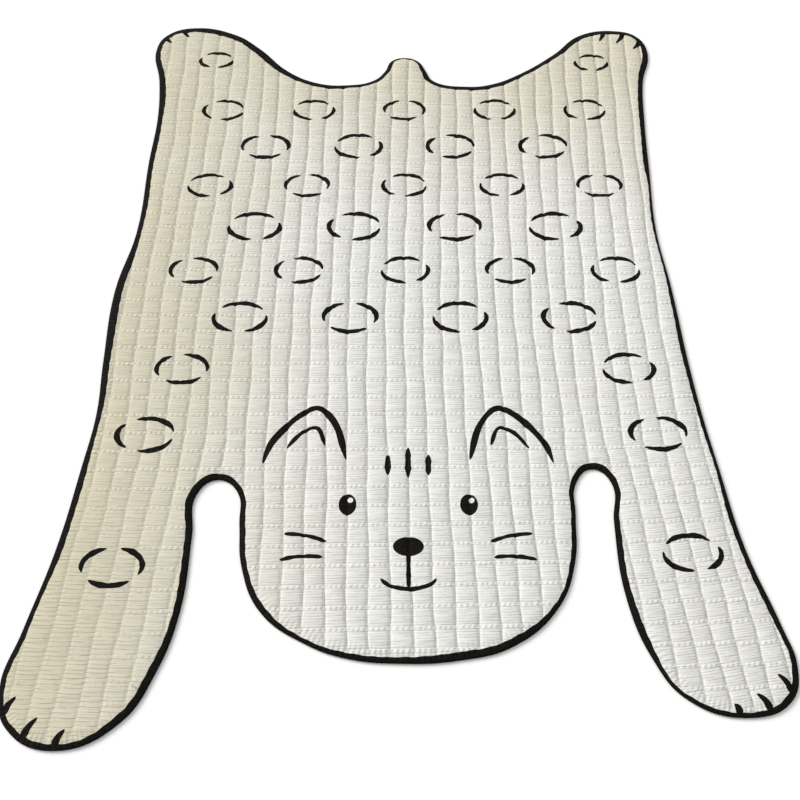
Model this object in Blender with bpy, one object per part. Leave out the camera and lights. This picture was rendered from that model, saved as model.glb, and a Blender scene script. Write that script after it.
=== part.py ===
"""A child's quilted play mat, one flat padded piece in the outline of a spread animal.

Metres, +Z up, the head towards -Y and the tail towards +Y. The underside lies flat on z = 0, and the
origin is on it, below the middle of the outline's box. The upper face is raised in points: stitched
channels run from head to tail, each is drawn in a little at every stitched row, and the whole thins
out towards the turned edge.
"""

from math import copysign, pi, sin

import bmesh
import bpy
from mathutils import Vector
from mathutils.bvhtree import BVHTree

MM = 0.001

# The quilting, measured from the mat's centre line and from half way along it
CHANNEL_PITCH = 30 * MM
ROW_PITCH = 31 * MM
ROW_START = -14.6 * MM
SEAM_WAVER = 1.2 * MM
SEAM_WAVER_LENGTH = 190 * MM
SEAM_WAVER_STEP = 1.7

# Heights of the upper face above the floor
EDGE_HEIGHT = 3.5 * MM
SEAM_HEIGHT = 4.4 * MM
ROW_HEIGHT = 6.2 * MM
CREST_HEIGHT = 7.8 * MM
EDGE_SLOPE = 24 * MM

# The seams curve to the right towards both ends, and a little to the left towards both sides
MIDDLE_SHIFT = -2.2 * MM
END_SHIFT = 10 * MM
END_REACH = 480 * MM
END_POWER = 1.2
SIDE_SHIFT = -6 * MM
SIDE_REACH = 400 * MM

# Both front legs' channels are straight again, and lean outwards towards the paw
LEG_INSIDE = 255 * MM
LEG_BEND = -230 * MM
LEG_LEAN = 0.088

# At the tail end the channels are straight too, and fan out a little
TAIL_BEND = 400 * MM
TAIL_LEAN = 0.01
TAIL_FAN = 0.065

# The rows turn a little, more so further from this one
STRAIGHT_ROW = -90 * MM
ROW_TURN = -0.037
ROW_TURN_REACH = 690 * MM

# The quilting is made past the outline on every side, and the outline is cut from it
HALF_CHANNELS = 19
HALF_ROWS = 24
CUT_REACH = 20 * MM
CURVE_STEPS = 6

# Places round the edge from the tail's tip to the chin, in millimetres from the centre line and from
# half way along the mat: on the right side out and along, then on the left side out and along
EDGE_PLACES = (
    ("tail shoulder", 27, 601, 25, 601),
    ("tail side", 41, 574, 36, 574),
    ("tail root", 55, 546, 58, 547),
    ("rump hollow", 119, 530, 110, 534),
    ("rump rise", 165, 536, 166, 540),
    ("rump", 224, 567, 222, 572),
    ("hind paw inner side", 292, 622, 281, 637),
    ("hind paw inner corner", 347, 677, 333, 679),
    ("hind paw tip", 417, 690, 415, 699),
    ("hind paw outer corner", 457, 674, 465, 679),
    ("hind paw outer side", 474, 628, 483, 638),
    ("ankle", 455, 544, 467, 546),
    ("hind flank", 445, 440, 458, 448),
    ("loin", 438, 310, 460, 335),
    ("waist", 432, 170, 460, 165),
    ("middle flank", 441, 48, 479, 40),
    ("front flank", 448, -112, 477, -105),
    ("ribs", 455, -205, 473, -200),
    ("shoulder", 465, -292, 481, -292),
    ("front leg outer side", 482, -425, 496, -425),
    ("wrist", 512, -540, 521, -547),
    ("front paw outer side", 522, -592, 536, -622),
    ("front paw outer corner", 506, -640, 517, -676),
    ("front paw tip", 445, -662, 450, -704),
    ("front paw inner corner", 367, -637, 371, -669),
    ("front paw inner side", 331, -586, 332, -602),
    ("front leg inner side", 305, -500, 310, -520),
    ("armpit outer side", 300, -380, 305, -400),
    ("armpit outer corner", 303, -318, 305, -337),
    ("armpit", 277, -295, 277, -313),
    ("armpit inner corner", 251, -319, 246, -333),
    ("cheek top", 246, -370, 239, -385),
    ("cheek", 239, -443, 231, -450),
    ("jowl", 210, -512, 200, -518),
    ("jaw", 144, -567, 136, -563),
    ("chin side", 70, -586, 80, -583),
)
TAIL_TIP = (0, 611)
CHIN = (-5, -590)

CLOTH_COLOUR = (0.70, 0.69, 0.64)
CLOTH_ROUGHNESS = 0.9


def clear_scene():
    for old in list(bpy.data.objects):
        bpy.data.objects.remove(old, do_unlink=True)


def new_collection(name):
    collection = bpy.data.collections.new(name)
    bpy.context.scene.collection.children.link(collection)
    return collection


def new_object(collection, name, data):
    obj = bpy.data.objects.new(name, data)
    collection.objects.link(obj)
    return obj


def evaluated_mesh(obj):
    """A new mesh of the object with its modifiers, or its curve's depth, worked in."""
    bpy.context.view_layer.update()
    graph = bpy.context.evaluated_depsgraph_get()
    return bpy.data.meshes.new_from_object(obj.evaluated_get(graph))


def cloth_material():
    material = bpy.data.materials.new("quilted_cotton")
    material.use_nodes = True
    shader = material.node_tree.nodes["Principled BSDF"]
    shader.inputs["Base Color"].default_value = (*CLOTH_COLOUR, 1)
    shader.inputs["Roughness"].default_value = CLOTH_ROUGHNESS
    shader.inputs["Metallic"].default_value = 0
    return material


def edge_points():
    """The places on the edge in metres, once round: tail tip, right side, chin, left side."""
    right = [(out, along) for _, out, along, _, _ in EDGE_PLACES]
    left = [(-out, along) for _, _, _, out, along in reversed(EDGE_PLACES)]
    return [(x * MM, y * MM) for x, y in (TAIL_TIP, *right, CHIN, *left)]


def outline_curve(collection):
    """The outline as a filled flat curve, deep enough to pass both faces of the quilting."""
    curve = bpy.data.curves.new("outline", "CURVE")
    curve.dimensions = "2D"
    curve.fill_mode = "BOTH"
    curve.extrude = CUT_REACH
    curve.resolution_u = CURVE_STEPS
    spline = curve.splines.new("BEZIER")
    points = edge_points()
    spline.bezier_points.add(len(points) - 1)
    spline.use_cyclic_u = True
    for bezier_point, (x, y) in zip(spline.bezier_points, points):
        bezier_point.co = (x, y, 0)
        bezier_point.handle_left_type = "AUTO"
        bezier_point.handle_right_type = "AUTO"
    return new_object(collection, "outline_curve", curve)


def outline_cutter(collection):
    """The outline as a closed mesh."""
    curve = outline_curve(collection)
    mesh = evaluated_mesh(curve)
    work = bmesh.new()
    work.from_mesh(mesh)
    bmesh.ops.remove_doubles(work, verts=work.verts, dist=0.01 * MM)
    bmesh.ops.recalc_face_normals(work, faces=work.faces)
    work.to_mesh(mesh)
    work.free()
    cutter = new_object(collection, "outline_cutter", mesh)
    cutter.matrix_world = curve.matrix_world
    bpy.data.objects.remove(curve, do_unlink=True)
    return cutter


def on_line(place, pitch):
    """Whether a place is on one of the lines that repeat at this pitch."""
    return abs(place / pitch - round(place / pitch)) < 0.1


def quilted_height(across, along):
    """The upper face's height at a point of the straight quilting pattern."""
    if on_line(across, CHANNEL_PITCH):
        return SEAM_HEIGHT
    if on_line(along, ROW_PITCH):
        return ROW_HEIGHT
    return CREST_HEIGHT


def seam_curve(across, along):
    """How far the curved and leaning seams lie to the right of straight ones."""
    lean = 0.0
    if abs(across) > LEG_INSIDE and along < LEG_BEND:
        lean = copysign(LEG_LEAN * (LEG_BEND - along), across)
        along = LEG_BEND
    if along > TAIL_BEND:
        lean = (TAIL_LEAN + TAIL_FAN * across) * (along - TAIL_BEND)
        along = TAIL_BEND
    curve = END_SHIFT * abs(along / END_REACH) ** END_POWER + SIDE_SHIFT * (across / SIDE_REACH) ** 2
    return MIDDLE_SHIFT + curve + lean


def wavered(across, along):
    """Where a point of the straight pattern lies on the mat."""
    waver = 2 * pi * along / SEAM_WAVER_LENGTH + SEAM_WAVER_STEP * across / CHANNEL_PITCH
    x = across + SEAM_WAVER * sin(waver) + seam_curve(across, along)
    turn = ROW_TURN * (along - STRAIGHT_ROW) / ROW_TURN_REACH
    return x, along + ROW_START + turn * across


def quilting_slab(collection):
    """Cloth with padding, with a point wherever the quilting is drawn in or stands up."""
    work = bmesh.new()
    bmesh.ops.create_grid(work, x_segments=4 * HALF_CHANNELS, y_segments=2 * HALF_ROWS, size=1)
    for vert in work.verts:
        vert.co.x *= HALF_CHANNELS * CHANNEL_PITCH
        vert.co.y *= HALF_ROWS * ROW_PITCH
    crests = []
    for edge in work.edges:
        start, end = (vert.co for vert in edge.verts)
        if abs(start.x - end.x) < MM and not on_line(start.x, CHANNEL_PITCH):
            crests.append(edge)
    bmesh.ops.subdivide_edges(work, edges=crests, cuts=1)
    bmesh.ops.triangulate(work, faces=work.faces)
    for vert in work.verts:
        across, along, _ = vert.co
        vert.co = (*wavered(across, along), quilted_height(across, along))

    rim = [edge for edge in work.edges if edge.is_boundary]
    skirt = bmesh.ops.extrude_edge_only(work, edges=rim)["geom"]
    for item in skirt:
        if isinstance(item, bmesh.types.BMVert):
            item.co.z = 0
    bmesh.ops.holes_fill(work, edges=[edge for edge in work.edges if edge.is_boundary])
    bmesh.ops.recalc_face_normals(work, faces=work.faces)
    mesh = bpy.data.meshes.new("quilting_slab")
    work.to_mesh(mesh)
    work.free()
    return new_object(collection, "quilting_slab", mesh)


def trimmed_mesh(slab, cutter):
    """The part of the slab that lies inside the outline."""
    trim = slab.modifiers.new("trim", "BOOLEAN")
    trim.operation = "INTERSECT"
    trim.object = cutter
    return evaluated_mesh(slab)


def wall_tree(cutter):
    """The outline's upright walls, for finding how far a point lies from the edge."""
    walls = [face.vertices for face in cutter.data.polygons if abs(face.normal.z) < 0.5]
    return BVHTree.FromPolygons([vert.co for vert in cutter.data.vertices], walls)


def thin_towards_edge(mesh, walls):
    """Brings the upper face down to the edge's height over the width of the slope."""
    for vert in mesh.vertices:
        if vert.co.z < EDGE_HEIGHT / 2:
            vert.co.z = 0
            continue
        inside = walls.find_nearest(Vector((vert.co.x, vert.co.y, 0)))[3]
        share = min(1.0, inside / EDGE_SLOPE)
        rise = share * (2 - share)
        vert.co.z = EDGE_HEIGHT + rise * (vert.co.z - EDGE_HEIGHT)


def middle_of(mesh):
    """The middle of the mesh's box, seen from above."""
    xs = [vert.co.x for vert in mesh.vertices]
    ys = [vert.co.y for vert in mesh.vertices]
    return Vector(((min(xs) + max(xs)) / 2, (min(ys) + max(ys)) / 2, 0))


def main():
    clear_scene()
    pieces = new_collection("animal_play_mat")
    helpers = new_collection("helpers")
    cutter = outline_cutter(helpers)
    slab = quilting_slab(helpers)
    mesh = trimmed_mesh(slab, cutter)
    thin_towards_edge(mesh, wall_tree(cutter))
    mesh.materials.append(cloth_material())
    mat = new_object(pieces, "quilted_mat", mesh)
    for obj in (mat, slab, cutter):
        obj.location = -middle_of(mesh)
    for helper in (slab, cutter):
        helper.hide_render = True
        helper.display_type = "WIRE"


main()
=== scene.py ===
"""The look of a child's quilted play mat in the outline of a spread animal: cloth, print, floor, light."""

from math import ceil, radians, sin, tau

import bpy
import numpy as np
from mathutils import Euler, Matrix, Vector
from mathutils.geometry import delaunay_2d_cdt
from mathutils.kdtree import KDTree


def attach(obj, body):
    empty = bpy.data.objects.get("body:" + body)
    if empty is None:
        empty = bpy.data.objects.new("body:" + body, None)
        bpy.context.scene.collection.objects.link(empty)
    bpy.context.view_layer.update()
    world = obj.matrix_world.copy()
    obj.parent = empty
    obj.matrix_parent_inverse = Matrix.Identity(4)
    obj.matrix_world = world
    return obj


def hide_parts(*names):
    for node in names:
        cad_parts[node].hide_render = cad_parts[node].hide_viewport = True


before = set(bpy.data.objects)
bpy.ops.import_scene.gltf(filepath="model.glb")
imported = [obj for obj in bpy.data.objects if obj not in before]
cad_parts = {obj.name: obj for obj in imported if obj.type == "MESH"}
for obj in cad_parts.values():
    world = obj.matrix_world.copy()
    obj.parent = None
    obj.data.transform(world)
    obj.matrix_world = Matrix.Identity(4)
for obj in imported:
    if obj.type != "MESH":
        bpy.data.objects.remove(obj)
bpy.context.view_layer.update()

MM = 0.001
NODE = "quilted_mat"

# The pattern's own origin, on the mat's centre line and half way along it, as a place in the frame.
# Every length from here to the materials is in millimetres from that origin.
PATTERN_ORIGIN = (6.991, 2.330)

# The quilting, as the solid has it
CHANNEL_PITCH = 30
ROW_PITCH = 31
ROW_START = -14.6
SEAM_WAVER = 1.2
SEAM_WAVER_LENGTH = 190
SEAM_WAVER_STEP = 1.7
EDGE_HEIGHT = 3.5
SEAM_HEIGHT = 4.4
CREST_HEIGHT = 7.8
EDGE_SLOPE = 24

# The seams' curve, the front legs' lean and the rows' turn, as the solid has them
MIDDLE_SHIFT = -2.2
END_SHIFT, END_REACH, END_POWER = 10, 480, 1.2
SIDE_SHIFT, SIDE_REACH = -6, 400
LEG_INSIDE, LEG_BLEND = 255, 15
LEG_BEND, LEG_LEAN = -230, 0.088
TAIL_BEND, TAIL_LEAN, TAIL_FAN = 400, 0.01, 0.000065
STRAIGHT_ROW = -90
ROW_TURN, ROW_TURN_REACH = -0.037, 690

# The finer form of the cloth between the seams
BOW = 0.9
SEAM_JOG, JOG_LENGTH = 0.7, 15.5
RIDGE_SQUARENESS, RIDGE_FLATNESS = 5.5, 0.8
FULLNESS = (0.84, 1.08)
UNDER_HOLLOW, UNDER_HOLLOW_RIDGE = 0.6, 0.3

# Flatter channels on the left side, and twice as much on the left front leg: from where to where
LEFT_FLATNESS, FLATTER_FROM, FLATTER_TO = 0.3, -100, -450
LEG_FLATTER_FROM, LEG_FLATTER_TO = -200, -400

# The stitched rows: how far they draw the cloth in, and the puckers that stand up on them
ROW_DIP, ROW_DIP_WIDTH = 0.16, 7.0
PUCKERS = 4
PUCKER_RISE, PUCKER_HEIGHT, PUCKER_WIDTH = 0.45, 0.5, 2.4
PUCKER_DRIFT, DRIFT_BY_CHANNEL, DRIFT_BY_ROW = 0.9, 2.4, 4.1

# The grooves between two rows: how far past the row each lies, its least and its greatest depth, and
# how far it may lie from its place
GROOVES = (3.5, 9.5, 15.5, 21.5, 27.5)
GROOVE_DEPTHS = ((0.4, 0.75), (0.15, 0.5), (0.15, 0.5), (0.15, 0.5), (0.35, 0.7))
GROOVE_SHIFT = (0.4, 1.3, 1.5, 1.3, 0.4)

# How far the cloth between two seams is turned: outwards on each side, and less towards the tail
LEFT_TURN, LEFT_TURN_FROM, LEFT_TURN_TO = -0.075, -200, -400
RIGHT_TURN, RIGHT_TURN_FROM, RIGHT_TURN_TO = 0.12, 230, 400
RIGHT_TURN_TOP, RIGHT_TURN_FULL = 360, 40

# Where the mesh has points across a channel, as shares of it: on the stitched rows, and on the grooves
PUCKER_SHARES = tuple(step / 8 for step in range(8))
PLAIN_SHARES = (0.0, 0.07, 0.16, 0.5, 0.84, 0.93)
HALF_CHANNELS = 20
HALF_ROWS = 24
QUILTING_SEED = 7
UNBENDING_ROUNDS = 8

# The turned edge, from the top down to the floor: how far in from the outline, and how high
EDGE_RINGS = ((1.6, 3.5), (0.5, 2.9), (0.0, 1.8), (0.4, 0.7), (1.4, 0.0))
OUTLINE_SPACING, OUTLINE_STEP = 9, 3.6
PRINT_STEP = 3.0
CLOSE_STEP = 1
CLEAR_OF_LINES = 0.9

# The black line along the edge, brushed wider and narrower: places near it and its width there
LINE_PLACES = (
    (0, 613, 1.2), (45, 572, 11), (100, 532, 16), (240, 582, 12), (400, 697, 16), (470, 660, 10.5),
    (444, 440, 10), (434, 160, 5.5), (447, -90, 8.5), (460, -250, 7), (490, -450, 9.5), (520, -610, 9.5),
    (385, -648, 5), (304, -480, 11), (301, -390, 7.5), (277, -297, 9.5), (246, -370, 7), (228, -470, 5.5),
    (105, -580, 11), (0, -592, 9), (-89, -584, 6), (-229, -450, 8.7), (-249, -336, 6.5), (-305, -345, 12.5),
    (-350, -640, 10), (-441, -703, 8), (-525, -560, 8.5), (-486, -330, 11), (-479, -210, 8.5),
    (-477, -110, 13), (-480, 40, 15), (-461, 180, 10), (-460, 350, 10.5), (-476, 570, 13), (-482, 640, 8.5),
    (-400, 703, 18.5), (-265, 620, 16.5), (-160, 542, 13.5), (-45, 572, 13),
)
LINE_REACH = 75
LINE_WAVES = ((0.5, 137, 0.4), (0.35, 23, 0.0))
LEAST_LINE = 1.6


# Lines and outlines

def resampled(points, step, closed=False):
    """Points at equal steps along a line."""
    line = np.vstack([points, points[:1]]) if closed else np.asarray(points, float)
    along = np.concatenate([[0], np.cumsum(np.linalg.norm(np.diff(line, axis=0), axis=1))])
    places = np.linspace(0, along[-1], max(2, ceil(along[-1] / step)) + 1)
    places = places[:-1] if closed else places
    return np.stack([np.interp(places, along, line[:, axis]) for axis in (0, 1)], axis=1)


def smooth_line(points, step, closed=False):
    """A smooth line through the points, with a point at each step along it."""
    points = np.asarray(points, float)
    if closed:
        before, after, further = (np.roll(points, shift, axis=0) for shift in (1, -1, -2))
        here = points
    else:
        padded = np.vstack([2 * points[0] - points[1], points, 2 * points[-1] - points[-2]])
        before, here, after, further = padded[:-3], padded[1:-2], padded[2:-1], padded[3:]
    fine = []
    for share in np.arange(0, 1, 0.125):
        fine.append(
            here
            + 0.5 * share * (after - before)
            + 0.5 * share ** 2 * (2 * before - 5 * here + 4 * after - further)
            + 0.5 * share ** 3 * (3 * here - before - 3 * after + further)
        )
    line = np.stack(fine, axis=1).reshape(-1, 2)
    if not closed:
        line = np.vstack([line, points[-1]])
    return resampled(line, step, closed)


def left_of(line, closed=False):
    """Unit vectors to the left of a line's heading; for an anticlockwise outline, that is inwards."""
    if closed:
        heading = np.roll(line, -1, axis=0) - np.roll(line, 1, axis=0)
    else:
        heading = np.gradient(line, axis=0)
    heading /= np.linalg.norm(heading, axis=1)[:, None]
    return np.stack([-heading[:, 1], heading[:, 0]], axis=1)


def inside(points, polygon):
    """Whether each point lies inside the polygon."""
    result = np.zeros(len(points), bool)
    low, high = polygon.min(axis=0), polygon.max(axis=0)
    near = np.nonzero(((points >= low) & (points <= high)).all(axis=1))[0]
    x, y = points[near].T
    within = np.zeros(len(near), bool)
    for (x0, y0), (x1, y1) in zip(polygon, np.roll(polygon, -1, axis=0)):
        if y0 != y1:
            within ^= ((y0 > y) != (y1 > y)) & (x < (x1 - x0) * (y - y0) / (y1 - y0) + x0)
    result[near] = within
    return result


def tree_of(points):
    tree = KDTree(len(points))
    for index, (x, y) in enumerate(points):
        tree.insert((x, y, 0), index)
    tree.balance()
    return tree


def node_outline(node):
    """The outline of the solid's underside, anticlockwise."""
    mesh = node.data
    mesh.calc_loop_triangles()
    points = np.array([vert.co for vert in mesh.vertices]) / MM
    keys = np.unique(np.round(points, 2), axis=0, return_inverse=True)[1].reshape(-1)
    faces = np.array([triangle.vertices for triangle in mesh.loop_triangles])
    flat = faces[(points[faces][:, :, 2] < 0.01).all(axis=1)]
    pairs = {tuple(pair) for pair in keys[flat[:, [0, 1, 1, 2, 2, 0]]].reshape(-1, 2)}
    following = {end: start for start, end in pairs if (end, start) not in pairs}
    place = {key: points[index, :2] for index, key in enumerate(keys)}
    at = next(iter(following))
    loop = []
    for _ in range(len(following)):
        loop.append(place[at])
        at = following[at]
    return np.array(loop) - PATTERN_ORIGIN


# The quilting

def between(table, first, second):
    """The values of a table at places between its entries."""
    first = np.clip(first, 0, table.shape[0] - 1.001)
    second = np.clip(second, 0, table.shape[1] - 1.001)
    low, left = first.astype(int), second.astype(int)
    up, over = first - low, second - left
    lower = table[low, left] * (1 - over) + table[low, left + 1] * over
    upper = table[low + 1, left] * (1 - over) + table[low + 1, left + 1] * over
    return lower * (1 - up) + upper * up


def eased(value, low, high):
    """The value's place between two limits, from 0 to 1, gently at both ends."""
    share = np.clip((value - low) / (high - low), 0, 1)
    return share * share * (3 - 2 * share)


def channel_number(across):
    """The number of the channel that each point lies in, counted from the left."""
    channel = np.floor(across / CHANNEL_PITCH) + HALF_CHANNELS
    return np.clip(channel, 0, 2 * HALF_CHANNELS - 1).astype(int)


def seam_curve(across, along):
    """How far the curved and leaning seams lie to the right of straight ones."""
    on_leg = np.clip((np.abs(across) - LEG_INSIDE) / LEG_BLEND, 0, 1) * (along < LEG_BEND)
    lean = np.sign(across) * LEG_LEAN * (LEG_BEND - along)
    end = np.minimum(along + on_leg * (LEG_BEND - along), TAIL_BEND)
    fan = (TAIL_LEAN + TAIL_FAN * across) * np.maximum(along - TAIL_BEND, 0)
    curve = END_SHIFT * np.abs(end / END_REACH) ** END_POWER + SIDE_SHIFT * (across / SIDE_REACH) ** 2
    return MIDDLE_SHIFT + curve + on_leg * lean + fan


def row_shift(across, along):
    """How far a whole row's turn moves a point of the straight pattern along the mat."""
    return ROW_START + ROW_TURN * (along - STRAIGHT_ROW) / ROW_TURN_REACH * across


def cloth_turn(across, along):
    """How far the cloth between two seams is turned there, apart from its row."""
    left = LEFT_TURN * eased(across, LEFT_TURN_FROM, LEFT_TURN_TO)
    right = RIGHT_TURN * eased(across, RIGHT_TURN_FROM, RIGHT_TURN_TO)
    return left + right * eased(along, RIGHT_TURN_TOP, RIGHT_TURN_FULL)


def hang(across, along):
    """How far the cloth in a channel hangs towards the head: by its bow and by its turn."""
    from_middle = 2 * (across / CHANNEL_PITCH % 1) - 1
    turned = cloth_turn(across, along) * from_middle * CHANNEL_PITCH / 2
    return BOW * (1 - from_middle ** 2) - turned


def pucker_heights(across, along):
    """How far the puckers on the stitched rows stand up."""
    channel = np.floor(across / CHANNEL_PITCH)
    share = across / CHANNEL_PITCH - channel
    row = np.round(along / ROW_PITCH)
    from_row = along - ROW_PITCH * row
    drift = PUCKER_DRIFT * np.sin(DRIFT_BY_CHANNEL * channel + DRIFT_BY_ROW * row)
    puckers = PUCKER_RISE + PUCKER_HEIGHT * np.cos(tau * PUCKERS * share + drift)
    return puckers * np.exp(-(from_row / PUCKER_WIDTH) ** 2)


class Quilting:
    """The upper face's form, with each channel's own grooves, fullness and jogging seams."""

    def __init__(self):
        chance = np.random.default_rng(QUILTING_SEED)
        jog_rows = ceil(2 * HALF_ROWS * ROW_PITCH / JOG_LENGTH) + 1
        self.jogs = chance.uniform(-SEAM_JOG, SEAM_JOG, (2 * HALF_CHANNELS + 1, jog_rows))
        rows = ROW_PITCH * np.arange(-HALF_ROWS, HALF_ROWS)
        shape = (2 * HALF_CHANNELS, len(rows), len(GROOVES))
        moved = chance.uniform(-1, 1, shape) * GROOVE_SHIFT
        shallow, deep = np.transpose(GROOVE_DEPTHS)
        depths = shallow + (deep - shallow) * chance.uniform(0, 1, shape)
        self.grooves = (np.add.outer(rows, GROOVES) + moved).reshape(2 * HALF_CHANNELS, -1)
        self.depths = depths.reshape(2 * HALF_CHANNELS, -1)
        self.fullness = chance.uniform(*FULLNESS, (2 * HALF_CHANNELS, 2 * HALF_ROWS + 2))

    def seam_shift(self, across, along):
        """How far the seams move a point of the straight pattern sideways."""
        channel = across / CHANNEL_PITCH
        waver = SEAM_WAVER * np.sin(tau * along / SEAM_WAVER_LENGTH + SEAM_WAVER_STEP * channel)
        row = along / JOG_LENGTH + HALF_ROWS * ROW_PITCH / JOG_LENGTH
        jog = between(self.jogs, channel + HALF_CHANNELS, row)
        return waver + jog + seam_curve(across, along)

    def mat_places(self, across, along):
        """Where points of the straight pattern lie on the mat."""
        x = across + self.seam_shift(across, along)
        y = along + row_shift(across, along) - hang(across, along)
        return np.stack([x, y], axis=1)

    def pattern_places(self, places):
        """The points of the straight pattern that lie at these places of the mat."""
        x, y = places.T
        across, along = x, y - ROW_START
        for _ in range(UNBENDING_ROUNDS):
            along = y - row_shift(across, along) + hang(across, along)
            across = x - self.seam_shift(across, along)
        return across, along

    def points(self):
        """Places on the mat for the mesh's points: on every stitched row, and on and between grooves."""
        places = []
        rows = ROW_PITCH * np.arange(-HALF_ROWS, HALF_ROWS)
        for number, grooves in enumerate(self.grooves):
            start = (number - HALF_CHANNELS) * CHANNEL_PITCH
            between_grooves = (grooves[:-1] + grooves[1:]) / 2
            off_rows = np.arange(1, len(grooves)) % len(GROOVES) > 0
            stations = np.concatenate([grooves, between_grooves[off_rows]])
            for shares, chosen in ((PUCKER_SHARES, rows), (PLAIN_SHARES, stations)):
                across, along = np.meshgrid(start + CHANNEL_PITCH * np.array(shares), chosen)
                places.append(self.mat_places(across.reshape(-1), along.reshape(-1)))
        return np.concatenate(places)

    def ridge(self, across):
        """How far up the channel's side a point lies, from 0 at a seam to 1 on the crest."""
        from_middle = np.abs(2 * (across / CHANNEL_PITCH % 1) - 1)
        return (1 - from_middle ** RIDGE_SQUARENESS) ** RIDGE_FLATNESS

    def groove(self, across, along):
        """(number of the groove at each point, whole numbers half way between grooves, and its depth)."""
        channel = channel_number(across)
        number, depth = np.zeros(len(along)), np.zeros(len(along))
        for one in np.unique(channel):
            here = channel == one
            grooves = self.grooves[one]
            number[here] = np.interp(along[here], grooves, np.arange(len(grooves)) + 0.5)
            nearest = np.clip(number[here].astype(int), 0, len(grooves) - 1)
            depth[here] = self.depths[one][nearest] * (1 - 2 * np.abs(number[here] - nearest - 0.5))
        return number, depth

    def fullness_at(self, across, along):
        """How full the padding is: each channel has a value on each row, and goes evenly between them."""
        number = channel_number(across)
        cell = np.clip(along / ROW_PITCH + HALF_ROWS, 0, 2 * HALF_ROWS)
        low = cell.astype(int)
        blend = cell - low
        return self.fullness[number, low] * (1 - blend) + self.fullness[number, low + 1] * blend

    def heights(self, across, along):
        """The upper face's height at points of the pattern, before it thins towards the edge."""
        ridge = self.ridge(across)
        from_row = along - ROW_PITCH * np.round(along / ROW_PITCH)
        dip = 1 - ROW_DIP * np.exp(-(from_row / ROW_DIP_WIDTH) ** 2)
        to_left = eased(across, FLATTER_FROM, FLATTER_TO)
        to_paw = eased(along, LEG_FLATTER_FROM, LEG_FLATTER_TO)
        flatter = 1 - LEFT_FLATNESS * to_left * (1 + to_paw)
        rise = (CREST_HEIGHT - SEAM_HEIGHT) * ridge * self.fullness_at(across, along) * dip * flatter
        _, grooves = self.groove(across, along)
        return SEAM_HEIGHT + rise + (pucker_heights(across, along) - grooves) * np.sqrt(ridge)


def thinned(heights, edge_in):
    """Heights brought down to the edge's own over the width of its slope."""
    share = np.clip(edge_in / EDGE_SLOPE, 0, 1)
    return EDGE_HEIGHT + share * (2 - share) * (heights - EDGE_HEIGHT)


# The print: a generic cat's face, broken rings on the back, toes, and the line along the edge

SWAY, SWAY_TURNS = 0.10, 11
FINE_SWAY, FINE_SWAY_TURNS = 0.06, 29

# Rows of broken rings on the back: how far along, how many, how far apart, and how wide each is
RING_ROWS = (
    (462, 5, 168, 74),
    (368, 4, 168, 84),
    (272, 5, 172, 76),
    (176, 4, 172, 88),
    (80, 5, 176, 78),
    (-18, 4, 178, 86),
    (-118, 2, 700, 80),
)
LONE_RINGS = (
    (382, -236, 84), (-392, -238, 86), (404, -432, 82), (-412, -452, 86), (360, 592, 62), (-362, 600, 62),
)
RING_TALLNESS = 0.66
RING_STROKE, LEAST_RING_STROKE, RING_TIP = 0.1, 7.5, 0.3
RING_ARCS, RING_ARC_STEPS = ((12, 118), (142, 238), (262, 350)), 6
RING_TURN, RING_TURN_STEP = 40, 2.3

# Toes: near where each starts on the edge, where it ends, and how far it bends to its left
TOES = (
    (434, -660, 428, -644, -1.5), (473, -650, 459, -631, -2.5), (506, -628, 491, -605, -3),
    (-451, -698, -439, -677, 2), (-493, -688, -477, -662, 2.5), (-521, -658, -510, -635, 2.5),
    (394, 684, 382, 654, 2), (432, 684, 414, 648, 3), (466, 660, 445, 631, 3),
    (-471, 672, -454, 652, -3), (-434, 694, -422, 668, -2.5),
)
TOE_WIDTH, TOE_TAPER = 12, 0.98
TOE_START, TOE_START_SHARE, TOE_WIDENING = 4.8, 0.55, 2

# The face, from its own middle
FACE_MIDDLE = (4, -400)
EYE_PLACE, EYE_RADII = (88, 44), (13, 17)
GLINT_SHIFT, GLINT_RADII, GLINT_STEPS = (4, 7), (4.2, 4.2), 12
EAR_PLACES = ((92, 118), (108, 176), (136, 208), (170, 190), (204, 148), (216, 112))
INNER_EAR_PLACES = ((124, 142), (136, 172), (158, 166), (182, 138))
EAR_WIDTH, INNER_EAR_WIDTH, EAR_TIP = 10, 6.5, 0.12
WHISKERS = ((116, -14, 178, -2), (120, -38, 182, -42))
WHISKER_WIDTH, WHISKER_TIP, WHISKER_BOW = 6, 0.1, 3
BROW_BARS = ((-30, 128, 92), (0, 140, 88), (30, 128, 92))
BROW_WIDTH, BROW_TIP = 9, 0.3
NOSE_UP, NOSE_RADII = -22, (22, 15)
LIP_LENGTH, LIP_IN_NOSE, LIP_TIP = 30, 3, 0.05
SMILE_UP, SMILE_RADII, SMILE_ANGLES = -62, (42, 24), (200, 340)
SMILE_WIDTH, SMILE_TIP, SMILE_IN_LIP = 6.5, 0.1, 2


def brush_stroke(points, width, tip, seed):
    """The outline of a stroke through the points, pointed at both ends and a little uneven."""
    line = smooth_line(points, PRINT_STEP)
    share = np.linspace(0, 1, len(line))
    full = np.minimum(1, np.minimum(share, 1 - share) / tip)
    sway = 1 + SWAY * np.sin(SWAY_TURNS * share + seed)
    sway += FINE_SWAY * np.sin(FINE_SWAY_TURNS * share + 2 * seed)
    half = 0.5 * width * np.sqrt(full) * sway
    side = left_of(line) * half[:, None]
    return np.vstack([(line + side)[:-1], (line - side)[::-1][:-1]])


def on_ellipse(middle, radii, turn):
    return np.stack([middle[0] + radii[0] * np.cos(turn), middle[1] + radii[1] * np.sin(turn)], axis=1)


def ellipse(middle, radii, steps=28):
    return on_ellipse(middle, radii, np.arange(steps) * tau / steps)


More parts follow.
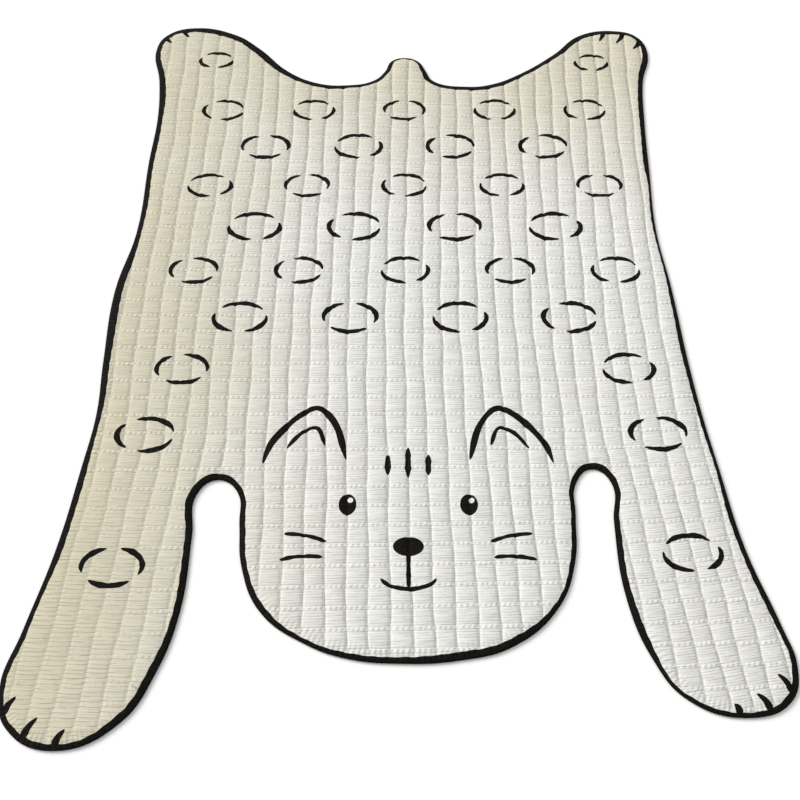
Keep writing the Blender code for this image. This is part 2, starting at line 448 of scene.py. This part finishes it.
def arc(middle, radii, start, end, steps=9):
    """Points along an elliptic arc, between two angles in degrees."""
    return on_ellipse(middle, radii, np.radians(np.linspace(start, end, steps)))


def ring(x, y, width, number):
    """Three short arcs round an oval that stand for one spot of the coat."""
    radii = (width / 2, RING_TALLNESS * width / 2)
    stroke = max(LEAST_RING_STROKE, RING_STROKE * width)
    turn = RING_TURN * sin(RING_TURN_STEP * number)
    strokes = []
    for first, last in RING_ARCS:
        line = arc((x, y), radii, first + turn, last + turn, RING_ARC_STEPS)
        strokes.append(brush_stroke(line, stroke, RING_TIP, number + first))
    return strokes


def back_rings():
    strokes = []
    number = 0
    for along, count, apart, width in RING_ROWS:
        for index in range(count):
            out = (index - (count - 1) / 2) * apart
            strokes += ring(out, along, width, number)
            number += 1
    for out, along, width in LONE_RINGS:
        strokes += ring(out, along, width, number)
        number += 1
    return strokes


def toes(outline, inwards):
    """Short strokes that run in from the black edge and end in a point."""
    strokes = []
    for x, y, tip_x, tip_y, bend in TOES:
        nearest = np.argmin(np.linalg.norm(outline - (x, y), axis=1))
        start = outline[nearest] + TOE_START * inwards[nearest]
        ends = np.array([start, (tip_x, tip_y)])
        middle = ends.mean(axis=0) + bend * left_of(ends)[0]
        line = smooth_line([ends[0], middle, ends[1]], PRINT_STEP)
        share = np.linspace(0, 1, len(line))
        widening = np.minimum(1, TOE_START_SHARE + TOE_WIDENING * share)
        half = 0.5 * TOE_WIDTH * np.sqrt(1 - TOE_TAPER * share) * widening
        side = left_of(line) * half[:, None]
        strokes.append(np.vstack([line + side, (line - side)[::-1][1:]]))
    return strokes


def on_face(places, side):
    """Places out from the face's middle and up from it, as places on the mat, on one side of the face."""
    x, y = FACE_MIDDLE
    return [(x + side * out, y + up) for out, up in places]


def half_face(side):
    """(one side's eye, ear and whiskers, the glint left white in the eye)."""
    eye_x, eye_y = on_face([EYE_PLACE], side)[0]
    glint = ellipse((eye_x + GLINT_SHIFT[0], eye_y + GLINT_SHIFT[1]), GLINT_RADII, GLINT_STEPS)
    ink = [
        ellipse((eye_x, eye_y), EYE_RADII),
        brush_stroke(on_face(EAR_PLACES, side), EAR_WIDTH, EAR_TIP, side),
        brush_stroke(on_face(INNER_EAR_PLACES, side), INNER_EAR_WIDTH, EAR_TIP, side),
    ]
    for start_out, start_up, end_out, end_up in WHISKERS:
        middle = ((start_out + end_out) / 2, (start_up + end_up) / 2 + WHISKER_BOW)
        route = on_face([(start_out, start_up), middle, (end_out, end_up)], side)
        ink.append(brush_stroke(route, WHISKER_WIDTH, WHISKER_TIP, side))
    return ink, glint


def middle_face():
    """The bars on the forehead, the nose and the mouth."""
    x, y = FACE_MIDDLE
    ink = []
    for out, top, bottom in BROW_BARS:
        bar = [(x + out, y + up) for up in (top, (top + bottom) / 2, bottom)]
        ink.append(brush_stroke(bar, BROW_WIDTH, BROW_TIP, out))
    ink.append(ellipse((x, y + NOSE_UP), NOSE_RADII))
    lip_top = y + NOSE_UP - NOSE_RADII[1] + LIP_IN_NOSE
    lip_end = y + SMILE_UP - SMILE_RADII[1] + SMILE_IN_LIP
    lip = [(x, lip_top), (x, lip_top - LIP_LENGTH / 2), (x, lip_end)]
    ink.append(brush_stroke(lip, SMILE_WIDTH, LIP_TIP, 1))
    smile = arc((x, y + SMILE_UP), SMILE_RADII, *SMILE_ANGLES)
    ink.append(brush_stroke(smile, SMILE_WIDTH, SMILE_TIP, 2))
    return ink


def print_shapes(outline, inwards):
    """(outlines of what is black, apart from the edge's line, outlines left white inside them)."""
    left, left_glint = half_face(-1)
    right, right_glint = half_face(1)
    ink = [*left, *right, *middle_face(), *back_rings(), *toes(outline, inwards)]
    return ink, [left_glint, right_glint]


def edge_line_widths(outline):
    """How wide the black line is at each point of the outline."""
    steps = np.linalg.norm(np.diff(outline, axis=0), axis=1)
    along = np.concatenate([[0], np.cumsum(steps)])
    places = np.array(LINE_PLACES)
    apart = np.linalg.norm(outline[:, None] - places[None, :, :2], axis=2)
    nearest = apart.min(axis=1)[:, None]
    weights = np.exp((nearest ** 2 - apart ** 2) / LINE_REACH ** 2)
    widths = (weights * places[:, 2]).sum(axis=1) / weights.sum(axis=1)
    waves = sum(size * np.sin(tau * along / length + phase) for size, length, phase in LINE_WAVES)
    return np.maximum(LEAST_LINE, widths + waves)


# The mesh

def loop_edges(start, count):
    return [(start + step, start + (step + 1) % count) for step in range(count)]


def triangulated(loops, loose):
    """Triangles over closed loops and loose points: (places, faces, each first-loop point's number)."""
    places = [tuple(point) for loop in loops for point in loop]
    edges = []
    start = 0
    for loop in loops:
        edges += loop_edges(start, len(loop))
        start += len(loop)
    places += [tuple(point) for point in loose]
    made = delaunay_2d_cdt([Vector(place) for place in places], edges, [], 0, 0.01)
    points, faces, came_from = np.array([tuple(v) for v in made[0]]), np.array(made[2]), made[3]
    numbers = np.full(len(loops[0]), -1)
    for number, sources in enumerate(came_from):
        for source in sources:
            if source < len(numbers):
                numbers[source] = number
    on_rim = np.zeros(len(points), bool)
    on_rim[numbers] = True
    keep = ~on_rim[faces].any(axis=1)
    doubtful = np.nonzero(~keep)[0]
    keep[doubtful] = inside(points[faces[doubtful]].mean(axis=1), np.asarray(loops[0]))
    return points, faces[keep], numbers


def loose_points(candidates, outline, lines):
    """The candidates inside the outline that keep clear of every line."""
    within = candidates[inside(candidates, outline)]
    dense = np.concatenate([resampled(line, CLOSE_STEP, closed=True) for line in lines])
    tree = tree_of(dense)
    clear = [tree.find((x, y, 0))[2] > CLEAR_OF_LINES for x, y in within]
    return within[np.array(clear)]


def edge_distances(points, outline):
    """(how far each point lies from the outline, how far along the outline)."""
    tree = tree_of(resampled(outline, CLOSE_STEP, closed=True))
    found = [tree.find((x, y, 0)) for x, y in points]
    return np.array([hit[2] for hit in found]), np.array([hit[1] for hit in found], float)


def upper_face(quilting, outline, lines):
    """The quilted face within the first of the lines: (vertices, faces, the rim's numbers, attributes)."""
    top, faces, rim = triangulated(lines, loose_points(quilting.points(), lines[0], lines))
    edge_in, edge_along = edge_distances(top, outline)
    across, along = quilting.pattern_places(top)
    heights = thinned(quilting.heights(across, along), edge_in)
    heights[rim] = EDGE_RINGS[0][1]
    groove, _ = quilting.groove(across, along)
    attributes = {
        "edge_in": edge_in * MM,
        "edge_along": edge_along * MM,
        "across": across / CHANNEL_PITCH,
        "along": (along - hang(across, along)) / ROW_PITCH,
        "turn": cloth_turn(across, along) * CHANNEL_PITCH / ROW_PITCH,
        "hollow": 1 - quilting.ridge(across),
        "groove": groove,
    }
    return np.column_stack([top, heights]), faces, rim, attributes


def under_face(quilting, rim_line):
    """The plain face below, drawn in at the seams: (vertices, faces that look down, the rim's numbers)."""
    across, along = np.meshgrid(
        np.arange(-2 * HALF_CHANNELS, 2 * HALF_CHANNELS + 1) * CHANNEL_PITCH / 2,
        np.arange(-2 * HALF_ROWS, 2 * HALF_ROWS + 1) * ROW_PITCH / 2,
    )
    points = quilting.mat_places(across.reshape(-1), along.reshape(-1))
    under, faces, rim = triangulated([rim_line], loose_points(points, rim_line, [rim_line]))
    across, _ = quilting.pattern_places(under)
    heights = UNDER_HOLLOW * (quilting.ridge(across) < UNDER_HOLLOW_RIDGE)
    heights[rim] = 0
    return np.column_stack([under, heights]), faces[:, ::-1], rim


def side_faces(rims):
    """The faces between each ring of the turned edge and the next one down."""
    sides = []
    for upper, lower in zip(rims[:-1], rims[1:]):
        sides.append(np.stack([upper, lower, np.roll(lower, -1), np.roll(upper, -1)], axis=1))
    return np.concatenate(sides)


def printed(centres, inner_edge, ink, glints):
    """Whether each place is black: outside the edge line's inner side, or in a shape but not a glint."""
    black = ~inside(centres, inner_edge)
    for shape in ink:
        black |= inside(centres, shape)
    for shape in glints:
        black &= ~inside(centres, shape)
    return black


def cloth_mesh(vertices, faces, materials, attributes):
    """A smooth mesh whose attributes have values at its first vertices, and 0 at the others."""
    mesh = bpy.data.meshes.new("quilted_mat_cloth")
    mesh.from_pydata((vertices * MM).tolist(), [], faces)
    mesh.polygons.foreach_set("material_index", materials)
    mesh.shade_smooth()
    for name, values in attributes.items():
        padded = np.concatenate([values, np.zeros(len(vertices) - len(values))])
        layer = mesh.attributes.new(name, "FLOAT", "POINT")
        layer.data.foreach_set("value", padded.astype(np.float32))
    print("mat:", len(vertices), "points", sum(len(face) - 2 for face in faces), "triangles")
    return mesh


def mat_mesh():
    """The mat's mesh, closed, with its print as faces of a second material."""
    cut = resampled(node_outline(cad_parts[NODE]), OUTLINE_SPACING, closed=True)
    outline = smooth_line(cut, OUTLINE_STEP, closed=True)
    inwards = left_of(outline, closed=True)
    rings = [outline + inset * inwards for inset, _ in EDGE_RINGS]
    inner_edge = outline + edge_line_widths(outline)[:, None] * inwards
    ink, glints = print_shapes(outline, inwards)

    quilting = Quilting()
    lines = [rings[0], inner_edge, *ink, *glints]
    upper, upper_faces, upper_rim, attributes = upper_face(quilting, outline, lines)
    under, under_faces, under_rim = under_face(quilting, rings[-1])
    vertices = [upper]
    rims = [upper_rim]
    for line, (_, height) in zip(rings[1:-1], EDGE_RINGS[1:-1]):
        rims.append(sum(len(part) for part in vertices) + np.arange(len(line)))
        vertices.append(np.column_stack([line, np.full(len(line), height)]))
    under_start = sum(len(part) for part in vertices)
    rims.append(under_start + under_rim)
    vertices = np.concatenate([*vertices, under])

    sides = side_faces(rims)
    black = printed(upper[upper_faces][:, :, :2].mean(axis=1), inner_edge, ink, glints)
    materials = np.concatenate([black, np.ones(len(sides)), np.zeros(len(under_faces))]).astype(np.int32)
    faces = [*upper_faces.tolist(), *sides.tolist(), *(under_faces + under_start).tolist()]
    vertices[:, :2] += PATTERN_ORIGIN
    return cloth_mesh(vertices, faces, materials, attributes)


# The materials, with lengths in metres from the frame's origin, apart from those said to be otherwise

COOL_WHITE = (0.755, 0.755, 0.73, 1)
# The darker, yellower white is painted warm shade, mixed in on the left side and at the tail
WARM_SHADED_WHITE = (0.625, 0.58, 0.42, 1)
# The pucker white is a painted highlight on the puckers
PUCKER_HIGHLIGHT = (0.88, 0.875, 0.83, 1)
# SEAM_SHADE is the grey of the painted shade in seams, lines, creases and stitches; it also greys the
# mottled threads and the right paw
SEAM_SHADE = (0.42, 0.41, 0.38, 1)
INK_BLACK = (0.006, 0.0055, 0.005, 1)
INK_WORN = (0.014, 0.013, 0.012, 1)

# Where painted warm shade lies on the cotton, towards the left side and the tail, and where it grows darker
# and greyer, towards the right paw
WARM_SHADE_LEFT = (-0.50, -0.05)
WARM_SHADE_TAIL, TAIL_WARM_SHADE = (0.10, 0.65), 0.85
WARM_SHADE_CELLS, WARM_SHADE_DRIFT = (5, 5, 5), 0.25
GREY_SIDE, GREY_SLANT, GREY_SHARE = (0.35, 0.95), 0.6, 0.14

# How much painted shade the seams and creases get and how much painted highlight the puckers, and from what
# depth
HOLLOW_RANGE, HOLLOW_SHADE = (0.45, 1.0), 0.45
PUCKER_HIGHLIGHT_RANGE, PUCKER_HIGHLIGHT_SHARE = (0.2, 0.9), 0.5
DEEP_RANGE, DEEP_SHADE = (0.0, 0.6), 0.5
LINE_DEEP, CREASE_DEEP, STITCH_DEEP = 0.4, 0.3, 0.3
MOTTLE_CELLS, MOTTLE_RANGE, MOTTLE_SHADE = (160, 700, 160), (0.45, 0.75), 0.15
WEAR_CELLS, WEAR_RANGE = (120, 320, 120), (0.45, 0.8)

# The left front leg, where the cloth is pulled smooth: out and along
LEG_OUT, LEG_ALONG = (-0.42, -0.27), (-0.46, -0.22)

# Noise in each channel: cells across it and in a row, and how far the channels lie apart in it
NOISE_STEP_ACROSS, NOISE_STEP_UP = 11.3, 3.7
DRIFT_CELLS = (0.5, 1.5)
BREAK_CELLS = (1.6, 7)
CREASE_CELLS, CREASE_RANGE = (0.9, 11), (0.36, 0.60)

# Lines along the rows, and on the left front leg along the grooves: their edges as shares of their
# spacing, where the noise breaks them, and how strong they are whole and broken
LINES_A_ROW = 8
LINE_EDGE, LINE_BREAKS, LINE_BROKEN = (0.05, 0.32), (0.38, 0.60), 0.15
GROOVE_EDGE, GROOVE_BREAKS, GROOVE_BROKEN, GROOVE_WHOLE = (0.03, 0.17), (0.36, 0.52), 0.35, 1.5

# Puckers and the stitches beside them, in millimetres from the row, and between which rows the puckers
# grow more even towards the tail
PUCKER_EDGE = (0.6, 3.0)
STITCHES_FROM_ROW, STITCH_EDGE, STITCH_FULL = 3.6, (0.2, 1.3), 1.35
EVEN_ROWS, EVENNESS = (6.0, 18.0), 0.3

# Gathers along the edge: their length, and how far in from the edge they fade
GATHER_LENGTH, GATHER_FADE = 0.0075, (0.008, 0.026)

# The bump's height and strength, and each form's share in it
RELIEF_HEIGHT, RELIEF_STRENGTH = 0.001, 0.8
PUCKER_BUMP, GATHER_BUMP = 0.9, 0.3
LINE_BUMP, CREASE_BUMP, STITCH_BUMP = 0.4, 0.25, 0.15
WEAVE_SCALE, WEAVE_DISTORTION = 220.0, 0.6
WEAVE_HEIGHT, WEAVE_STRENGTH = 0.00012, 0.3

FLOOR_COLOUR = (0.97, 0.97, 0.97, 1)
FLOOR_SHADE = (0.95, 0.95, 0.95, 1)
FLOOR_CELLS, FLOOR_RANGE = (3, 3, 3), (0.3, 0.7)


def add(tree, kind, inputs=None, **settings):
    """A new node with its settings, whose inputs are values or other nodes' outputs."""
    node = tree.nodes.new(kind)
    for name, value in settings.items():
        setattr(node, name, value)
    for name, value in (inputs or {}).items():
        if isinstance(value, bpy.types.NodeSocket):
            tree.links.new(value, node.inputs[name])
        else:
            node.inputs[name].default_value = value
    return node


def math(tree, operation, first, second=0.0):
    return add(tree, "ShaderNodeMath", {0: first, 1: second}, operation=operation).outputs[0]


def plus(tree, first, second):
    return math(tree, "ADD", first, second)


def minus(tree, first, second):
    return math(tree, "SUBTRACT", first, second)


def times(tree, first, second):
    return math(tree, "MULTIPLY", first, second)


def ranged(tree, value, low, high, to_low=0.0, to_high=1.0):
    """The value's place between two limits, smoothly, as a number between two others."""
    inputs = {"Value": value, "From Min": low, "From Max": high, "To Min": to_low, "To Max": to_high}
    return add(tree, "ShaderNodeMapRange", inputs, interpolation_type="SMOOTHSTEP").outputs["Result"]


def mixed(tree, share, first, second):
    node = add(tree, "ShaderNodeMix", data_type="RGBA")
    sockets = (node.inputs["Factor"], node.inputs[6], node.inputs[7])
    for socket, value in zip(sockets, (share, first, second)):
        if isinstance(value, bpy.types.NodeSocket):
            tree.links.new(value, socket)
        else:
            socket.default_value = value
    return node.outputs[2]


def stretched_noise(tree, place, scale, detail, roughness=0.5):
    """Noise whose scale differs by direction, in cells a metre."""
    mapping = add(tree, "ShaderNodeMapping", {"Vector": place, "Scale": scale})
    inputs = {"Vector": mapping.outputs["Vector"], "Scale": 1.0, "Detail": detail, "Roughness": roughness}
    return add(tree, "ShaderNodeTexNoise", inputs).outputs["Fac"]


def attribute(tree, name):
    return add(tree, "ShaderNodeAttribute", attribute_name=name).outputs["Fac"]


def quilted_place(tree):
    """The channel's number, the share across it, the row's number, and how far from the row in rows."""
    across = attribute(tree, "across")
    channel = math(tree, "FLOOR", across)
    share = minus(tree, across, channel)
    from_middle = minus(tree, share, 0.5)
    bowed = times(tree, times(tree, from_middle, from_middle), 4 * BOW / ROW_PITCH)
    turned = times(tree, attribute(tree, "turn"), from_middle)
    along = minus(tree, attribute(tree, "along"), plus(tree, bowed, turned))
    along = plus(tree, along, BOW / ROW_PITCH)
    row = math(tree, "ROUND", along)
    return channel, share, row, minus(tree, along, row)


def channel_noise(tree, channel, share, along, cells_across, cells_a_row):
    """Noise that starts afresh in each channel, with so many cells across it and in a row."""
    across = plus(tree, times(tree, share, cells_across), times(tree, channel, NOISE_STEP_ACROSS))
    up = times(tree, channel, NOISE_STEP_UP)
    place = add(tree, "ShaderNodeCombineXYZ", {"X": across, "Y": times(tree, along, cells_a_row), "Z": up})
    inputs = {"Vector": place.outputs["Vector"], "Scale": 1.0, "Detail": 2.0, "Roughness": 0.55}
    return add(tree, "ShaderNodeTexNoise", inputs).outputs["Fac"]


def on_left_leg(tree, place):
    """How much a place belongs to the left front leg, where the cloth is pulled smooth, from 0 to 1."""
    separate = add(tree, "ShaderNodeSeparateXYZ", {"Vector": place})
    out = ranged(tree, separate.outputs["X"], *LEG_OUT, 1.0, 0.0)
    return times(tree, out, ranged(tree, separate.outputs["Y"], *LEG_ALONG, 1.0, 0.0))


def creased(tree, channel, share, row, from_row):
    """(thin lines along the rows, lines along the grooves, finer creases), each from 0 to about 1."""
    along = plus(tree, row, from_row)
    drift = channel_noise(tree, channel, share, along, *DRIFT_CELLS)
    counted = plus(tree, times(tree, along, LINES_A_ROW), drift)
    from_line = math(tree, "ABSOLUTE", minus(tree, math(tree, "FRACT", counted), 0.5))
    uneven = channel_noise(tree, channel, share, along, *BREAK_CELLS)
    whole = ranged(tree, uneven, *LINE_BREAKS, LINE_BROKEN, 1.0)
    lines = times(tree, ranged(tree, from_line, *LINE_EDGE, 1.0, 0.0), whole)

    counted = attribute(tree, "groove")
    from_groove = math(tree, "ABSOLUTE", minus(tree, math(tree, "FRACT", counted), 0.5))
    whole = ranged(tree, uneven, *GROOVE_BREAKS, GROOVE_BROKEN, 1.0)
    leg_lines = times(tree, ranged(tree, from_groove, *GROOVE_EDGE, GROOVE_WHOLE, 0.0), whole)

    fine = channel_noise(tree, channel, share, along, *CREASE_CELLS)
    return lines, leg_lines, ranged(tree, fine, *CREASE_RANGE, 1.0, 0.0)


def puckered(tree, channel, share, row, from_row):
    """(puckers along the stitched row, the stitches drawn in beside them), each from 0 to about 1."""
    turn = plus(tree, times(tree, channel, DRIFT_BY_CHANNEL), times(tree, row, DRIFT_BY_ROW))
    drift = times(tree, math(tree, "SINE", turn), PUCKER_DRIFT)
    wave = math(tree, "COSINE", plus(tree, times(tree, share, tau * PUCKERS), drift))
    wave = plus(tree, times(tree, wave, 0.5), 0.5)
    evened = ranged(tree, row, *EVEN_ROWS, 0.0, EVENNESS)
    wave = plus(tree, wave, times(tree, evened, minus(tree, 1.0, wave)))
    away = times(tree, math(tree, "ABSOLUTE", from_row), ROW_PITCH)
    puckers = times(tree, wave, ranged(tree, away, *PUCKER_EDGE, 1.0, 0.0))
    beside = math(tree, "ABSOLUTE", minus(tree, away, STITCHES_FROM_ROW))
    near_stitch = ranged(tree, beside, *STITCH_EDGE, 1.0, 0.0)
    return puckers, times(tree, minus(tree, STITCH_FULL, wave), near_stitch)


def gathered(tree):
    """Small gathers across the edge, fading inwards."""
    gathers = math(tree, "SINE", times(tree, attribute(tree, "edge_along"), tau / GATHER_LENGTH))
    return times(tree, gathers, ranged(tree, attribute(tree, "edge_in"), *GATHER_FADE, 1.0, 0.0))


def woven(tree, place):
    """Threads across and along."""
    threads = []
    for direction in ("X", "Y"):
        inputs = {"Vector": place, "Scale": WEAVE_SCALE, "Distortion": WEAVE_DISTORTION}
        threads.append(add(tree, "ShaderNodeTexWave", inputs, bands_direction=direction).outputs["Fac"])
    return times(tree, *threads)


def cloth_relief(tree, place):
    """Creases, puckers, gathers at the edge and the weave: (normal, how deep the cloth lies, puckers)."""
    quilted = quilted_place(tree)
    on_leg = on_left_leg(tree, place)
    off_leg = minus(tree, 1.0, on_leg)
    lines, leg_lines, creases = creased(tree, *quilted)
    lines = plus(tree, times(tree, lines, off_leg), times(tree, leg_lines, on_leg))
    puckers, stitches = (times(tree, form, off_leg) for form in puckered(tree, *quilted))

    height = plus(tree, times(tree, puckers, PUCKER_BUMP), times(tree, gathered(tree), GATHER_BUMP))
    for hollow, depth in ((lines, LINE_BUMP), (creases, CREASE_BUMP), (stitches, STITCH_BUMP)):
        height = minus(tree, height, times(tree, hollow, depth))
    relief = {"Strength": RELIEF_STRENGTH, "Distance": RELIEF_HEIGHT, "Height": height}
    coarse = add(tree, "ShaderNodeBump", relief)
    weave = {"Strength": WEAVE_STRENGTH, "Distance": WEAVE_HEIGHT, "Height": woven(tree, place)}
    fine = add(tree, "ShaderNodeBump", {**weave, "Normal": coarse.outputs["Normal"]})

    # How deep the lines, stitches and creases lie, which the cotton darkens with painted shade
    deep = math(tree, "MAXIMUM", times(tree, lines, LINE_DEEP), times(tree, stitches, STITCH_DEEP))
    deep = math(tree, "MAXIMUM", deep, times(tree, creases, CREASE_DEEP))
    return fine.outputs["Normal"], deep, puckers


def new_material(name):
    material = bpy.data.materials.new(name)
    material.use_nodes = True
    tree = material.node_tree
    shader = tree.nodes["Principled BSDF"]
    place = add(tree, "ShaderNodeTexCoord").outputs["Object"]
    return material, tree, shader, place


def cotton_tone_and_shade(tree, place):
    """The cotton's white in the large, with painted warm shade on the left and at the tail, and darker and
    greyer by the right paw.
    """
    separate = add(tree, "ShaderNodeSeparateXYZ", {"Vector": place})
    x, y = separate.outputs["X"], separate.outputs["Y"]
    # Painted warm shade towards the left side and the tail
    drift = times(tree, minus(tree, stretched_noise(tree, place, WARM_SHADE_CELLS, 2.0), 0.5), WARM_SHADE_DRIFT)
    left = ranged(tree, plus(tree, x, drift), *WARM_SHADE_LEFT, 1.0, 0.0)
    tail = ranged(tree, plus(tree, y, drift), *WARM_SHADE_TAIL, 0.0, TAIL_WARM_SHADE)
    colour = mixed(tree, math(tree, "MAXIMUM", left, tail), COOL_WHITE, WARM_SHADED_WHITE)
    to_paw = minus(tree, x, times(tree, y, GREY_SLANT))
    return mixed(tree, ranged(tree, to_paw, *GREY_SIDE, 0.0, GREY_SHARE), colour, SEAM_SHADE)


def cotton():
    """White cotton, with painted shade in seams, creases and stitches, and a painted highlight on the
    puckers.
    """
    material, tree, shader, place = new_material("quilted_cotton")
    normal, deep, puckers = cloth_relief(tree, place)
    # Painted shade in the seams
    hollow = ranged(tree, attribute(tree, "hollow"), *HOLLOW_RANGE, 0.0, HOLLOW_SHADE)
    colour = mixed(tree, hollow, cotton_tone_and_shade(tree, place), SEAM_SHADE)
    # Painted highlight on the puckers
    colour = mixed(tree, ranged(tree, puckers, *PUCKER_HIGHLIGHT_RANGE, 0.0, PUCKER_HIGHLIGHT_SHARE), colour, PUCKER_HIGHLIGHT)
    # Painted shade in the lines, creases and stitches
    colour = mixed(tree, ranged(tree, deep, *DEEP_RANGE, 0.0, DEEP_SHADE), colour, SEAM_SHADE)
    mottle = stretched_noise(tree, place, MOTTLE_CELLS, 3.0, 0.6)
    colour = mixed(tree, ranged(tree, mottle, *MOTTLE_RANGE, 0.0, MOTTLE_SHADE), colour, SEAM_SHADE)
    tree.links.new(colour, shader.inputs["Base Color"])
    tree.links.new(normal, shader.inputs["Normal"])
    shader.inputs["Roughness"].default_value = 0.92
    shader.inputs["Sheen Weight"].default_value = 0.15
    shader.inputs["Sheen Roughness"].default_value = 0.6
    shader.inputs["Specular IOR Level"].default_value = 0.25
    return material


def black_print():
    """Black print on the same cotton, worn a little in places."""
    material, tree, shader, place = new_material("black_print")
    normal, _, _ = cloth_relief(tree, place)
    wear = stretched_noise(tree, place, WEAR_CELLS, 4.0, 0.65)
    colour = mixed(tree, ranged(tree, wear, *WEAR_RANGE), INK_BLACK, INK_WORN)
    tree.links.new(colour, shader.inputs["Base Color"])
    tree.links.new(normal, shader.inputs["Normal"])
    shader.inputs["Roughness"].default_value = 0.85
    shader.inputs["Specular IOR Level"].default_value = 0.08
    return material


def pale_floor():
    """A pale floor, a little cloudy."""
    material, tree, shader, place = new_material("pale_floor")
    cloudy = stretched_noise(tree, place, FLOOR_CELLS, 2.0)
    colour = mixed(tree, ranged(tree, cloudy, *FLOOR_RANGE), FLOOR_COLOUR, FLOOR_SHADE)
    tree.links.new(colour, shader.inputs["Base Color"])
    shader.inputs["Roughness"].default_value = 0.9
    return material


def make_mat():
    mesh = mat_mesh()
    mesh.materials.append(cotton())
    mesh.materials.append(black_print())
    mat = bpy.data.objects.new("quilted_mat_cloth", mesh)
    bpy.context.scene.collection.objects.link(mat)
    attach(mat, "root")
    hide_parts(NODE)


# The setting

FLOOR_SIDE, FLOOR_DROP = 12, 0.3 * MM

# The camera has the photo's frame, in pixels, and looks down by so many degrees
PHOTO_SIDE = 800
PHOTO_FOCAL = 1058
CAMERA_PLACE = (-0.00098, -1.04432, 1.383)
CAMERA_DOWN = 57.7
SENSOR = 36

SUN_PLACE, SUN_COLOUR = (-2.4, 1.7, 1.5), (1.0, 0.985, 0.96)
SUN_STRENGTH, SUN_SPREAD = 3.3, 30
SKY_COLOUR, SKY_STRENGTH = (1, 1, 1, 1), 0.62


def make_floor():
    bpy.ops.mesh.primitive_plane_add(size=FLOOR_SIDE, location=(0, 0, -FLOOR_DROP))
    floor = bpy.context.object
    floor.name = "floor"
    floor.data.materials.append(pale_floor())


def make_camera():
    data = bpy.data.cameras.new("camera")
    data.sensor_fit = "HORIZONTAL"
    data.sensor_width = SENSOR
    data.lens = PHOTO_FOCAL / PHOTO_SIDE * SENSOR
    camera = bpy.data.objects.new("camera", data)
    camera.location = CAMERA_PLACE
    camera.rotation_euler = Euler((radians(90 - CAMERA_DOWN), 0, 0))
    bpy.context.scene.collection.objects.link(camera)
    bpy.context.scene.camera = camera


def make_sun():
    """A soft window light from the left, behind the tail, that shines at the middle of the mat."""
    data = bpy.data.lights.new("window", "SUN")
    data.energy = SUN_STRENGTH
    data.color = SUN_COLOUR
    data.angle = radians(SUN_SPREAD)
    sun = bpy.data.objects.new("window", data)
    sun.location = SUN_PLACE
    sun.rotation_euler = (-Vector(SUN_PLACE)).to_track_quat("-Z", "Y").to_euler()
    bpy.context.scene.collection.objects.link(sun)


def make_sky():
    world = bpy.data.worlds.new("studio")
    world.use_nodes = True
    background = world.node_tree.nodes["Background"]
    background.inputs["Color"].default_value = SKY_COLOUR
    background.inputs["Strength"].default_value = SKY_STRENGTH
    bpy.context.scene.world = world
    bpy.context.scene.view_settings.view_transform = "Standard"


def main():
    make_camera()
    make_mat()
    make_floor()
    make_sun()
    make_sky()


main()
